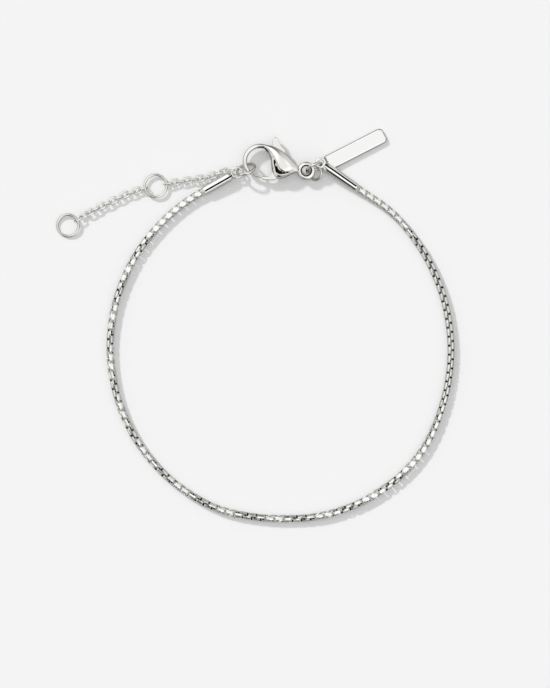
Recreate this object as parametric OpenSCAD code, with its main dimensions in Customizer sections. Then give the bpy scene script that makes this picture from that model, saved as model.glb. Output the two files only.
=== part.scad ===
// Box chain bracelet with a lobster clasp, a plain tag and a link extender.
// The loop lies on its surface: +Z up, +X to the right, +Y to the clasp.
// All sizes are millimetres.

/* [Box chain] */
// Width of the chain across a link
chain_w = 1.12; // [1.10:0.01:1.14]
// Length of one box link
link_len = 1.16; // [1.14:0.01:1.18]
// Thickness of the strip that a link is bent from
strip_t = 0.14; // [0.12:0.01:0.15]
// Width of that strip
strip_w = 0.54; // [0.5:0.01:0.55]
// Wanted distance between the middles of two links
link_pitch = 0.71; // [0.70:0.005:0.72]
// Chamfer at a link's corners
link_chamfer = 0.15; // [0.05:0.05:0.2]
// Height of the chain's middle above the surface
chain_z = 0.625; // [0.625:0.005:0.8]

/* [End caps] */
// Outer radius of the left cap
left_cap_r = 0.7; // [0.64:0.01:0.7]
// Outer radius of the right cap at its eyelet
right_cap_r1 = 0.76; // [0.7:0.01:0.78]
// Outer radius of the right cap at its mouth
right_cap_r2 = 0.63; // [0.54:0.01:0.65]
// Wall of the rolled caps
cap_wall = 0.18; // [0.12:0.01:0.2]
// Width of the slit where the roll closes
slit_w = 0.28; // [0.1:0.01:0.3]
// Thickness of the eyelets
eyelet_t = 0.34; // [0.3:0.01:0.36]

/* [Jump rings] */
// Mean radius of the ring in the clasp's hook
hook_ring_r = 1.463; // [1.45:0.001:1.47]
// Wire radius of the ring in the hook
hook_wire = 0.2; // [0.17:0.01:0.2]
// Mean radius of the ring in the clasp's eye
clasp_ring_r = 1.257; // [1.25:0.001:1.26]
// Wire radius of the ring in the clasp's eye
clasp_wire = 0.21; // [0.17:0.01:0.21]
// Mean radius of the ring that carries the tag
tag_ring_r = 1.13; // [1.125:0.005:1.135]
// Wire radius of the ring that carries the tag
tag_wire = 0.19; // [0.15:0.01:0.19]

/* [Extender] */
// Mean radius of the middle ring
middle_ring_r = 1.74; // [1.72:0.01:1.76]
// Mean radius of the end ring
end_ring_r = 1.69; // [1.67:0.01:1.71]
// Wire radius of both extender rings
big_wire = 0.185; // [0.15:0.005:0.19]
// Outer length of an extender link
oval_len = 1.65; // [1.64:0.01:1.66]
// Outer width of an extender link
oval_w = 1.1; // [1.08:0.01:1.12]
// Wire radius of an extender link
oval_wire = 0.125; // [0.11:0.005:0.13]
// Links between the left cap and the middle ring
inner_links = 11; // [11:1:11]
// Links between the middle ring and the end ring
outer_links = 12; // [12:1:12]

/* [Tag] */
// Length of the tag's plate
tag_len = 10.15; // [8:0.05:11]
// Width of the tag's plate
tag_w = 2.4; // [2.2:0.05:2.6]
// Thickness of the tag's plate
tag_t = 0.65; // [0.4:0.05:0.65]
// Radius of the plate's far corners
tag_corner = 0.65; // [0.3:0.05:0.9]

/* [Clasp] */
// Mean radius of the hook
hook_r = 2.43; // [2.41:0.01:2.45]
// Width of the hook in plan
hook_w = 0.66; // [0.6:0.01:0.7]
// Thickness of the hook
hook_t = 1.2; // [1.1:0.02:1.24]
// Half thickness of the body at its middle
body_half = 1.3; // [1.28:0.01:1.3]
// Radius of the body's domed faces
dome_r = 6.2; // [6:0.1:7]
// Half thickness of the lever
lever_half = 0.4; // [0.36:0.01:0.41]
// Half height of the lever's slot
slot_half = 0.45; // [0.44:0.01:0.48]
// Radius of the pivot pin
pin_r = 0.3; // [0.28:0.01:0.3]

/* [Hidden] */
$fn = 32;

// Middle of the loop seen from the origin, which is under the middle of the whole bracelet
loop_at = [4.1, -3.32, 0];

// Radius of the loop at clockwise angles from +X, read as a slightly uneven circle
loop_radii = [
    [-66, 27.72], [-62, 27.36], [-50, 27.25], [-40, 26.9], [-25, 26.6], [-8, 26.5],
    [10, 26.65], [22, 26.9], [35, 27.4], [45, 27.5], [60, 27.4], [75, 27.25],
    [90, 26.95], [100, 27.05], [111, 27.35], [125, 27.25], [145, 27.15], [168, 27.0],
    [200, 27.0], [225, 27.15], [235, 27.3], [245, 27.4]
];
// Turn of the chain about its own length at the same angles
chain_twist = [[-66, 0], [-47, 0], [-38, 45], [12, 50], [42, 90], [223, 1080], [245, 1080]];
right_a = -64.1;
left_a = 242.7;
// How far the chain's ends are lifted by the caps, and over what angle
right_lift = 0.25;
left_lift = 0.08;
right_lift_span = 9.5;
left_lift_span = 6;

steps = 1200;
function smooth_radius(a) =
    (lookup(a - 3, loop_radii) + 2 * lookup(a - 1.5, loop_radii) + 2 * lookup(a, loop_radii)
    + 2 * lookup(a + 1.5, loop_radii) + lookup(a + 3, loop_radii)) / 8;
function ease(x) = x < 0 ? 0 : x * x;
function chain_height(a) =
    chain_z + right_lift * ease(1 - (a - right_a) / right_lift_span)
    + left_lift * ease(1 - (left_a - a) / left_lift_span);
function chain_at(a) =
    [smooth_radius(a) * cos(a), -smooth_radius(a) * sin(a), chain_height(a)];
angles = [for (i = [0:steps]) right_a + (left_a - right_a) * i / steps];
route = [for (a = angles) chain_at(a)];
function running(points, i = 0, sum = 0, out = []) =
    i >= len(points) ? out :
    running(
        points, i + 1,
        i + 1 < len(points) ? sum + norm(points[i + 1] - points[i]) : sum,
        concat(out, [sum])
    );
travelled = running(route);
chain_length = travelled[steps];
angle_at = [for (i = [0:steps]) [travelled[i], angles[i]]];
links = round(chain_length / link_pitch);
pitch = chain_length / links;
half_links = round(links / 2);

function heading(d) = atan2(d[1], d[0]);
function rise(d) = atan2(d[2], norm([d[0], d[1]]));

// Cap ends: the eyelet's middle and the mouth, which holds the end bar of the chain's last link
left_eye = [-7.1, 27.39, 1.12];
right_eye = [6.04, 28.84, 1.75];
left_mouth = chain_at(left_a + 0.9);
right_mouth = chain_at(right_a - 0.9);
// Length of the taper at a cap's eyelet end, and how much narrower it starts
taper_len = 0.7;
taper_in = 0.2;

// One box link along X, standing with its opening along Z
module box_link() {
    x = link_len / 2;
    y = chain_w / 2;
    c = link_chamfer;
    xi = x - strip_t;
    yi = y - strip_t;
    translate([0, 0, -strip_w / 2])
        linear_extrude(strip_w)
            polygon(
                [
                    [x, y - c], [x - c, y], [c - x, y], [-x, y - c],
                    [-x, c - y], [c - x, -y], [x - c, -y], [x, c - y],
                    [xi, yi], [-xi, yi], [-xi, -yi], [xi, -yi]
                ],
                [[0, 1, 2, 3, 4, 5, 6, 7], [8, 9, 10, 11]]
            );
}

// The link number i where it lies in the loop
module placed_link(i) {
    a = lookup(i * pitch, angle_at);
    d = chain_at(a + 0.5) - chain_at(a - 0.5);
    translate(chain_at(a))
        rotate([0, -rise(d), heading(d)])
            rotate([lookup(a, chain_twist) + 90 * i, 0, 0])
                box_link();
}

module box_chain_left() {
    color("silver")
        translate(loop_at)
            for (i = [half_links + 1:links - 1])
                placed_link(i);
}

module box_chain_right() {
    color("silver")
        translate(loop_at)
            for (i = [1:half_links])
                placed_link(i);
}

// A ring of round wire whose level diameter points along az and whose other one climbs by tilt
module wire_ring(at, r, wire, az, tilt) {
    translate(at)
        rotate([0, 0, az])
            rotate([tilt, 0, 0])
                rotate_extrude($fn = 48)
                    translate([r, 0])
                        circle(wire, $fn = 16);
}

// A flat eyelet about a vertical hole
module eyelet(at, hole, outer) {
    translate(at)
        difference() {
            cylinder(h = eyelet_t, r = outer, center = true);
            cylinder(h = eyelet_t * 2, r = hole, center = true);
        }
}

// A rolled tube from start to mouth with a closed end, a slit and a bore
module rolled_cap(start, mouth, r1, r2, roll) {
    d = mouth - start;
    length = norm(d);
    translate(start)
        rotate([0, -rise(d), heading(d)])
            rotate([roll, 0, 0])
                difference() {
                    rotate([0, 90, 0])
                        intersection() {
                            cylinder(h = length, r1 = r1, r2 = r2);
                            cylinder(
                                h = length,
                                r1 = r1 - taper_in,
                                r2 = r1 + taper_in * (length / taper_len - 1)
                            );
                        }
                    translate([0.45, 0, 0])
                        rotate([0, 90, 0])
                            cylinder(h = length, r1 = r1 - cap_wall, r2 = r2 - cap_wall);
                    translate([0.3, -slit_w / 2, 0])
                        cube([length, slit_w, r1 * 2]);
                }
}

module left_end_cap() {
    aim = (left_mouth - left_eye) / norm(left_mouth - left_eye);
    color("gainsboro")
        translate(loop_at) {
            rolled_cap(left_eye + 0.84 * aim, left_mouth, left_cap_r, left_cap_r, -10);
            eyelet(left_eye, 0.68, 0.94);
            placed_link(links);
        }
}

module right_end_cap() {
    aim = (right_mouth - right_eye) / norm(right_mouth - right_eye);
    color("gainsboro")
        translate(loop_at) {
            rolled_cap(right_eye + 0.72 * aim, right_mouth, right_cap_r1, right_cap_r2, -14);
            eyelet(right_eye, 0.5, 0.82);
            placed_link(0);
        }
}

module hook_ring() {
    color("silver")
        translate(loop_at)
            wire_ring([-5.645, 27.885, 1.469], hook_ring_r, hook_wire, 21.0, -58.2);
}

module clasp_ring() {
    color("silver")
        translate(loop_at)
            wire_ring([5.035, 28.19, 1.418], clasp_ring_r, clasp_wire, 27.8, 73.8);
}

module tag_ring() {
    color("silver")
        translate(loop_at)
            wire_ring([5.112, 27.42, 0.6], tag_ring_r, tag_wire, 116.9, -20.9);
}

// Tag: the plate's raised end, its direction and its slope
tag_at = [7.09, 28.80, 0.41];
tag_az = 27.2;
tag_slope = 0.46;
bail_at = [6.05, 27.90, 1.0];
bail_r = 0.34;
bail_wire = 0.11;

module tag_plate() {
    q = tag_corner;
    arc = [for (t = [0:15:90]) [tag_len - q + q * sin(t), tag_w / 2 - q + q * cos(t)]];
    arc_low = [for (t = [90:-15:0]) [tag_len - q + q * sin(t), -tag_w / 2 + q - q * cos(t)]];
    translate([0, 0, -tag_t / 2])
        linear_extrude(tag_t)
            polygon(concat([[0, -tag_w / 2], [0, tag_w / 2]], arc, arc_low));
}

module tag() {
    color("gainsboro")
        translate(loop_at) {
            translate(tag_at)
                rotate([0, tag_slope, tag_az])
                    tag_plate();
            translate(bail_at)
                rotate([0, 0, tag_az])
                    rotate([90, 0, 0])
                        rotate_extrude()
                            translate([bail_r, 0])
                                circle(bail_wire, $fn = 16);
            translate([bail_at[0], bail_at[1], 0.6])
                rotate([0, 0, tag_az])
                    translate([0.02, -0.12, -0.12])
                        cube([1.36, 0.24, 0.24]);
        }
}

// One oval link along X, lying flat
module oval_link() {
    bend = oval_w / 2 - oval_wire;
    straight = oval_len - oval_w;
    for (s = [0, 180])
        rotate([0, 0, s]) {
            translate([straight / 2, 0, 0])
                rotate([0, 0, -90])
                    rotate_extrude(angle = 180, $fn = 32)
                        translate([bend, 0])
                            circle(oval_wire, $fn = 16);
            translate([-straight / 2, bend, 0])
                rotate([0, 90, 0])
                    cylinder(h = straight, r = oval_wire, $fn = 16);
        }
}

// Routes of the two lengths of oval links, from one wire's middle to the next
inner_route = [
    [-7.86, 27.7, 1.12], [-8.5, 27.77, 0.98], [-9.2, 27.54, 0.68], [-10.95, 26.95, 0.56],
    [-12.72, 26.5, 0.56], [-14.79, 26.2, 0.56], [-16.75, 25.87, 0.56], [-18.13, 25.6, 0.56]
];
outer_route = [
    [-21.52, 24.95, 0.56], [-22.69, 24.62, 0.56], [-24.71, 23.9, 0.56], [-26.56, 23, 0.56],
    [-28.45, 22.11, 0.56], [-30.16, 21.2, 0.56], [-30.88, 20.83, 0.56], [-32.18, 19.95, 0.56]
];
// Distance of an end link's middle from the wire that it hangs on
end_gap = 0.29;

function along(points, sums, s) = [
    for (k = [0:2])
        lookup(s, [for (i = [0:len(points) - 1]) [sums[i], points[i][k]]])
];

module oval_run(points, count, rolls) {
    sums = running(points);
    total = sums[len(points) - 1];
    step = (total - 2 * end_gap) / (count - 1);
    for (i = [0:count - 1]) {
        s = end_gap + i * step;
        d = along(points, sums, min(s + 0.5, total)) - along(points, sums, max(s - 0.5, 0));
        translate(along(points, sums, s))
            rotate([0, -rise(d), heading(d)])
                rotate([90 * (i + 1) + rolls[i], 0, 0])
                    oval_link();
    }
}

module extender_chain_inner() {
    color("silver")
        translate(loop_at)
            oval_run(inner_route, inner_links, [-8, -25, -10, 0, 0, 0, 0, 0, 0, 0, 0]);
}

module extender_chain_outer() {
    color("silver")
        translate(loop_at)
            oval_run(outer_route, outer_links, [0, 0, 0, 0, 0, 0, 0, 0, 0, 22, 45, 68]);
}

module extender_ring_middle() {
    color("silver")
        translate(loop_at)
            wire_ring([-19.84, 25.3, 0.55], middle_ring_r, big_wire, 0, 0);
}

module extender_ring_end() {
    color("silver")
        translate(loop_at)
            translate([-33.63, 19.1, 0.37])
                rotate([0, -6, 30.8])
                    rotate_extrude($fn = 48)
                        translate([end_ring_r, 0])
                            circle(big_wire, $fn = 16);
}

// Clasp, drawn about the middle of its hook
clasp_at = [-3.407, 29.12, 1.3];
pivot = [2.622, -0.55];
eye_at = [7.222, -1.476];
eye_r = 1.04;
body_outline = [
    [0.267, 2.732], [1.758, 2.465], [3.328, 1.758], [4.632, 0.707], [5.668, -0.455],
    [6.35, -0.75], [6.35, -1.95], [5.605, -1.78], [4.946, -1.884], [3.972, -2.543], [2.669, -2.795], [2.214, -2.543],
    [2.025, -2.088], [1.696, -1.24], [1.633, 0.393], [1.366, 1.303], [0.455, 1.884]
];
lever_outline = [
    [1.915, 2.277], [1.947, 3.438], [2.182, 3.721], [2.528, 3.721], [2.842, 3.344],
    [3.25, 2.434], [3.956, 1.57], [3.721, 0.55], [3.485, -0.707], [3.093, -1.649],
    [2.622, -2.277], [2.386, -2.842], [0.659, -2.905], [0.08, -2.575], [-1.03, -2.25],
    [-1.16, -1.93], [0.047, -2.261], [0.424, -2.339], [1.444, -2.308], [1.837, -1.649],
    [1.837, 0.236], [1.994, 1.806]
];
function rounded(p) = [
    for (i = [0:len(p) - 1])
        for (t = [0.25, 0.75])
            (1 - t) * p[i] + t * p[(i + 1) % len(p)]
];
function oval(w, t, n) =
    [for (i = [0:n - 1]) [w / 2 * cos(360 * i / n), t / 2 * sin(360 * i / n)]];

module clasp_shell() {
    intersection() {
        translate([0, 0, -body_half])
            linear_extrude(body_half * 2)
                polygon(rounded(rounded(body_outline)));
        translate([3.1, -0.35, body_half - dome_r]) sphere(dome_r, $fn = 96);
        translate([3.1, -0.35, dome_r - body_half]) sphere(dome_r, $fn = 96);
    }
}

module lever_slot() {
    difference() {
        translate([pivot[0], pivot[1], -slot_half]) cylinder(h = slot_half * 2, r = 2.6, $fn = 64);
        translate([-2, 0.2, -1]) cube([3.78, 4, 2]);
    }
    translate([1.78, 0.5, -slot_half]) cube([1.82, 2.8, slot_half * 2]);
}

module clasp_body() {
    color("silver")
        translate(loop_at + clasp_at) {
            difference() {
                union() {
                    clasp_shell();
                    rotate([0, 0, 50])
                        rotate_extrude(angle = 182, $fn = 64)
                            translate([hook_r, 0])
                                polygon(oval(hook_w, hook_t, 16));
                    translate([eye_at[0], eye_at[1], 0])
                        rotate_extrude($fn = 48)
                            translate([eye_r, 0])
                                polygon(oval(0.6, 0.96, 16));
                }
                lever_slot();
                translate([pivot[0], pivot[1], -1]) cylinder(h = 2, r = pin_r + 0.01);
            }
        }
}

module clasp_lever() {
    color("silver")
        translate(loop_at + clasp_at)
            difference() {
                translate([0, 0, -lever_half])
                    linear_extrude(lever_half * 2)
                        polygon(rounded(lever_outline));
                translate([pivot[0], pivot[1], -1]) cylinder(h = 2, r = pin_r + 0.03);
            }
}

module lever_pin() {
    color("gray")
        translate(loop_at + clasp_at)
            translate([pivot[0], pivot[1], -0.95])
                cylinder(h = 1.9, r = pin_r);
}

box_chain_left();
box_chain_right();
left_end_cap();
right_end_cap();
hook_ring();
clasp_body();
clasp_lever();
lever_pin();
clasp_ring();
tag_ring();
tag();
extender_chain_inner();
extender_ring_middle();
extender_chain_outer();
extender_ring_end();
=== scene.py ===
"""Box chain bracelet: the finished look of every piece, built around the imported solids.

Lengths in the classes are millimetres in the loop's own frame, whose middle is LOOP_AT from the
bracelet's origin. Meshes are written in metres in the bracelet's frame.
"""

from __future__ import annotations

import logging
import math
from collections.abc import Iterable
from dataclasses import dataclass
from enum import Enum

import bpy
import numpy as np
import numpy.typing as npt
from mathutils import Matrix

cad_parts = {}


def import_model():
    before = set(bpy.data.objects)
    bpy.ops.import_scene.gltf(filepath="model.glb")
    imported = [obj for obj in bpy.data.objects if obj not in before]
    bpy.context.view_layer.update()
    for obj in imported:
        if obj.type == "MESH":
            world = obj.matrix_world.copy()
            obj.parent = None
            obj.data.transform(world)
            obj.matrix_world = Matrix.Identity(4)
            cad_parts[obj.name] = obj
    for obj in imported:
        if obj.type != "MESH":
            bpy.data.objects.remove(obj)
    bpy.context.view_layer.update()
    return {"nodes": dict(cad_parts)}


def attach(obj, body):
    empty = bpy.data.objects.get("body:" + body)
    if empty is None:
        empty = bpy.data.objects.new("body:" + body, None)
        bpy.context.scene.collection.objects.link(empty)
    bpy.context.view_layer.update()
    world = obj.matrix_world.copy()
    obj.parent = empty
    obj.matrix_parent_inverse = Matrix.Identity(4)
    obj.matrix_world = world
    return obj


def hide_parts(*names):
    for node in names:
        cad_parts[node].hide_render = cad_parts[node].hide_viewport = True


LOG = logging.getLogger("bracelet")
Array = npt.NDArray[np.float64]
Indices = npt.NDArray[np.int64]
Material = bpy.types.Material
Piece = bpy.types.Object
Socket = bpy.types.NodeSocket
Point = tuple[float, float, float]
Table = tuple[tuple[float, ...], ...]

MM = 0.001
MICROMETRE = 1e-6
QUARTER_TURN = 90.0
LOOP_AT = np.array([4.1, -3.32, 0.0])
MM_PER_PIXEL = 0.157
LOOP_PIXEL = (282.0, 347.0)
FRAME_PIXELS = (550.0, 688.0)
BODY = "bracelet"
LEVER = "lever"
# Drawing in of the level layer inside a rounded rim, in bevels
LEVEL_INSET = 1.15
# Least length that a normal is divided by
SHORTEST = 1e-9
# Degrees of the chain's route that lie inside each cap's mouth
CAP_GRIP = 0.9


class Crisp(Enum):
    """Angle in degrees above which a piece's edges stay crisp."""

    STRIP = 35.0
    SHEET = 40.0
    CAST = 50.0
    WIRE = 60.0


@dataclass
class Shell:
    """A surface as points in millimetres and groups of faces.

    Attributes:
        points: Vertex positions, shape (n, 3).
        faces: One array of vertex numbers for each group, shape (m, k), where a group's faces
            all have k corners.
    """

    points: Array
    faces: list[Indices]

    def placed(self, turn: Array, shift: Array) -> "Shell":
        """Turn the points by a 3 by 3 matrix and shift them."""
        return Shell(self.points @ turn.T + shift, self.faces)

    def repeated(self, turns: Array, shifts: Array) -> "Shell":
        """Copy the surface once for each placement.

        Args:
            turns: Rotation matrices, shape (k, 3, 3).
            shifts: Positions, shape (k, 3).

        Returns:
            One shell that holds all the copies.
        """
        count, size = len(turns), len(self.points)
        points = np.einsum("kij,nj->kni", turns, self.points) + shifts[:, None, :]
        step = (np.arange(count) * size)[:, None, None]
        faces = [(f[None] + step).reshape(-1, f.shape[1]) for f in self.faces]
        return Shell(points.reshape(-1, 3), faces)


def joined(*shells: Shell) -> Shell:
    """Put several shells into one, with their face groups kept apart.

    Args:
        *shells: The shells, in the order that their face groups are numbered in.

    Returns:
        One shell that holds them all.
    """
    starts = np.cumsum([0] + [len(s.points) for s in shells[:-1]])
    faces = [f + start for s, start in zip(shells, starts) for f in s.faces]
    return Shell(np.vstack([s.points for s in shells]), faces)


def grid_faces(rows: int, columns: int, wrap_rows: bool, wrap_columns: bool) -> Indices:
    """Quads of a grid of points whose row index is the slower one.

    Args:
        rows: Number of sections.
        columns: Number of points in a section.
        wrap_rows: Whether the last section joins the first.
        wrap_columns: Whether each section is a closed loop.

    Returns:
        Quad indices, shape (m, 4).
    """
    i, j = np.meshgrid(
        np.arange(rows if wrap_rows else rows - 1),
        np.arange(columns if wrap_columns else columns - 1),
        indexing="ij",
    )
    i, j = i.ravel(), j.ravel()
    down, right = (i + 1) % rows, (j + 1) % columns
    quads = [i * columns + j, down * columns + j, down * columns + right, i * columns + right]
    return np.stack(quads, axis=1)


def turn_about(axis: str, degrees: float | Array) -> Array:
    """Rotation matrices about one axis by the right-hand rule.

    Args:
        axis: The axis, x, y or z.
        degrees: One angle, or an array of angles.

    Returns:
        Matrices, shape (..., 3, 3).
    """
    a = np.radians(np.asarray(degrees, dtype=float))
    c, s, o, i = np.cos(a), np.sin(a), np.zeros_like(a), np.ones_like(a)
    rows = {
        "x": [[i, o, o], [o, c, -s], [o, s, c]],
        "y": [[c, o, s], [o, i, o], [-s, o, c]],
        "z": [[c, -s, o], [s, c, o], [o, o, i]],
    }[axis]
    return np.stack([np.stack(r, axis=-1) for r in rows], axis=-2)


def superellipse(half_width: float, half_height: float, count: int, power: float = 1.0) -> Array:
    """Closed section whose corners fill out as the power falls below 1.

    A point's place across is the half width times the angle's cosine, and its place up the
    half height times the sine, each raised to the power with its sign kept.

    Args:
        half_width: Half size across.
        half_height: Half size up.
        count: Number of points.
        power: Exponent on the cosine and the sine of the angle.

    Returns:
        Points, shape (count, 2), anticlockwise.
    """
    a = np.arange(count) * 2 * np.pi / count
    c, s = np.cos(a), np.sin(a)
    across = half_width * np.sign(c) * np.abs(c) ** power
    up = half_height * np.sign(s) * np.abs(s) ** power
    return np.stack([across, up], axis=1)


def circle(radius: float, count: int) -> Array:
    """Points of a whole circle, anticlockwise from +X, shape (count, 2)."""
    return superellipse(radius, radius, count)


def arc(radius: float, start: float, end: float, count: int) -> Array:
    """Points of a circle from one angle in degrees to another, both included."""
    a = np.radians(np.linspace(start, end, count))
    return radius * np.stack([np.cos(a), np.sin(a)], axis=1)


def laid_along(chord: Array, roll: float | Array) -> Array:
    """Rotations that lay X along a chord after a roll about it.

    Args:
        chord: Directions of any length, shape (..., 3).
        roll: Turns about X in degrees.

    Returns:
        Rotation matrices, shape (..., 3, 3).
    """
    heading = np.degrees(np.arctan2(chord[..., 1], chord[..., 0]))
    rise = np.degrees(np.arctan2(chord[..., 2], np.linalg.norm(chord[..., :2], axis=-1)))
    return turn_about("z", heading) @ turn_about("y", -rise) @ turn_about("x", roll)


def smooth_curve(knots: Array, count: int, closed: bool) -> Array:
    """Catmull-Rom curve through knots: each stretch is the cubic that leaves a knot along the line
    between its two neighbours.

    Args:
        knots: Points of any dimension, shape (k, d).
        count: Number of points wanted.
        closed: Whether the curve returns to the first knot.

    Returns:
        Points evenly spaced in the knots' numbering, shape (count, d).
    """
    k = len(knots)
    t = np.linspace(0, k if closed else k - 1, count, endpoint=not closed)
    i = np.minimum(t.astype(int), k - 1 if closed else k - 2)
    f = (t - i)[:, None]

    def knot(n: Indices) -> Array:
        """The knots at wrapped or clamped numbers."""
        return knots[n % k] if closed else knots[np.clip(n, 0, k - 1)]

    p0, p1, p2, p3 = knot(i - 1), knot(i), knot(i + 1), knot(i + 2)
    return 0.5 * (
        2 * p1 + (p2 - p0) * f + (2 * p0 - 5 * p1 + 4 * p2 - p3) * f**2
        + (3 * p1 - p0 - 3 * p2 + p3) * f**3
    )


def outward_normals(outline: Array, closed: bool = True) -> Array:
    """Unit normals of an anticlockwise outline, to its right-hand side.

    Each is the line from the point before to the point after, turned a quarter turn
    clockwise.

    Args:
        outline: Points, shape (n, 2).
        closed: Whether the outline is a loop.

    Returns:
        Normals, shape (n, 2).
    """
    if closed:
        d = np.roll(outline, -1, axis=0) - np.roll(outline, 1, axis=0)
    else:
        d = np.gradient(outline, axis=0)
    n = np.stack([d[:, 1], -d[:, 0]], axis=1)
    return n / np.maximum(np.linalg.norm(n, axis=1, keepdims=True), SHORTEST)


def flat_sweep(curve: Array, sections: Array, closed: bool) -> Shell:
    """Carry a closed section along a curve in the XY plane.

    Each point is the curve's point plus the section's first coordinate along the outward normal
    and its second along +Z.

    Args:
        curve: Points, shape (n, 2), anticlockwise.
        sections: One section, shape (m, 2), or one for each point, shape (n, m, 2).
        closed: Whether the curve is a loop.

    Returns:
        The swept shell, with flat ends where the curve is open.
    """
    normals = outward_normals(curve, closed)
    if sections.ndim == 2:
        sections = np.broadcast_to(sections, (len(curve), *sections.shape))
    n, m = sections.shape[:2]
    flat = curve[:, None, :] + sections[..., :1] * normals[:, None, :]
    points = np.concatenate([flat, sections[..., 1:]], axis=2).reshape(-1, 3)
    faces = [grid_faces(n, m, closed, True)]
    if not closed:
        ring = np.arange(m)
        faces += [ring[None], (ring[::-1] + (n - 1) * m)[None]]
    return Shell(points, faces)


def bevelled_slab(outline: Array, half: float | Array, bevel: float, steps: int = 4,
                  fall: float = 1.0) -> Shell:
    """A plate whose rim is rounded: layers of the outline drawn in by a quarter circle's rule.

    Layer k lies at the half thickness less fall times the bevel times 1 - sin(a) and is drawn in
    by the bevel times 1 - cos(a), with a from 0 to a right angle. A last level layer keeps the
    faces flat.

    Args:
        outline: Points, shape (n, 2), anticlockwise.
        half: Half thickness, one value or one for each outline point.
        bevel: Radius of the rounded rim.
        steps: Layers in each quarter circle.
        fall: How much deeper than wide the rounded rim is.

    Returns:
        A closed shell about the plane z = 0.
    """
    a = np.linspace(0, np.pi / 2, steps + 1)
    inset = np.append(bevel * (1 - np.cos(a)), bevel * LEVEL_INSET)
    drop = np.append(fall * bevel * (1 - np.sin(a)), 0.0)
    side = np.repeat([-1.0, 1.0], len(inset))
    inset = np.concatenate([inset[::-1], inset])
    drop = np.concatenate([drop[::-1], drop])
    normals = outward_normals(outline)
    n = len(outline)
    half_each = np.broadcast_to(np.asarray(half, dtype=float), (n,))
    flat = outline[None] - inset[:, None, None] * normals[None]
    height = side[:, None] * (half_each[None] - drop[:, None])
    points = np.concatenate([flat, height[..., None]], axis=2).reshape(-1, 3)
    rows = len(inset)
    ring = np.arange(n)
    quads = grid_faces(rows, n, False, True)[:, ::-1]
    return Shell(points, [quads, ring[::-1][None], (ring + (rows - 1) * n)[None]])


def make_object(name: str, shell: Shell, material: Material, crisp: Crisp = Crisp.SHEET,
                loop_frame: bool = True, hollow_shade: Material | None = None,
                shaded_groups: tuple[int, ...] = ()) -> Piece:
    """Write a shell into a new mesh object at the origin.

    Args:
        name: The piece's name.
        shell: Surface in millimetres.
        material: Finish of the whole piece.
        crisp: Which of its edges stay crisp.
        loop_frame: Whether the points are about the loop's middle.
        hollow_shade: Near-black painted shade for the faces that lie in shade.
        shaded_groups: Numbers of the face groups that take it.

    Returns:
        The new object.
    """
    points = (shell.points + (LOOP_AT if loop_frame else 0.0)) * MM
    faces = [row for group in shell.faces for row in group.tolist()]
    mesh = bpy.data.meshes.new(name)
    mesh.from_pydata(points.tolist(), [], faces)
    mesh.polygons.foreach_set("use_smooth", np.ones(len(faces), dtype=bool))
    mesh.update()
    mesh.set_sharp_from_angle(angle=math.radians(crisp.value))
    mesh.materials.append(material)
    # Faces of the listed groups take the second material, a near-black painted shade.
    if hollow_shade is not None:
        mesh.materials.append(hollow_shade)
        slots = [np.full(len(g), int(k in shaded_groups)) for k, g in enumerate(shell.faces)]
        mesh.polygons.foreach_set("material_index", np.concatenate(slots))
    piece = bpy.data.objects.new(name, mesh)
    bpy.context.collection.objects.link(piece)
    return piece


class Tarnish(Enum):
    """How far a finish's colour clouds towards grey."""

    NONE = 0.0
    FAINT = 0.12
    SOME = 0.3


# Detail of the noises that cloud the colour, vary the roughness and make the scratches
CLOUD_DETAIL, FINE_DETAIL, SCRATCH_DETAIL = 3.0, 4.0, 2.0
# Noise values that give the lowest and the highest roughness
FINE_LOW, FINE_HIGH = 0.3, 0.7
# How the scratches' noise is stretched, and turned in radians
SCRATCH_STRETCH, SCRATCH_TURN = (1.0, 0.12, 1.0), (0.0, 0.0, 0.5)
BUMP_STRENGTH = 0.6


def fill(tree: bpy.types.NodeTree, node: bpy.types.Node, inputs: dict[int | str, object]) -> None:
    """Fill a node's inputs.

    Args:
        tree: The tree that the node is in.
        node: The node.
        inputs: A value, or the socket to link from, for each input's name or number.
    """
    for key, value in inputs.items():
        if isinstance(value, Socket):
            tree.links.new(value, node.inputs[key])
        else:
            node.inputs[key].default_value = value


def add_node(tree: bpy.types.NodeTree, kind: str, inputs: dict[int | str, object],
             **settings: object) -> bpy.types.Node:
    """A new node with its properties set and then its inputs filled.

    Args:
        tree: The tree that takes the node.
        kind: The node's type.
        inputs: A value, or the socket to link from, for each input's name or number.
        **settings: The node's properties.

    Returns:
        The new node.
    """
    node = tree.nodes.new(kind)
    for name, value in settings.items():
        setattr(node, name, value)
    fill(tree, node, inputs)
    return node


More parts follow.
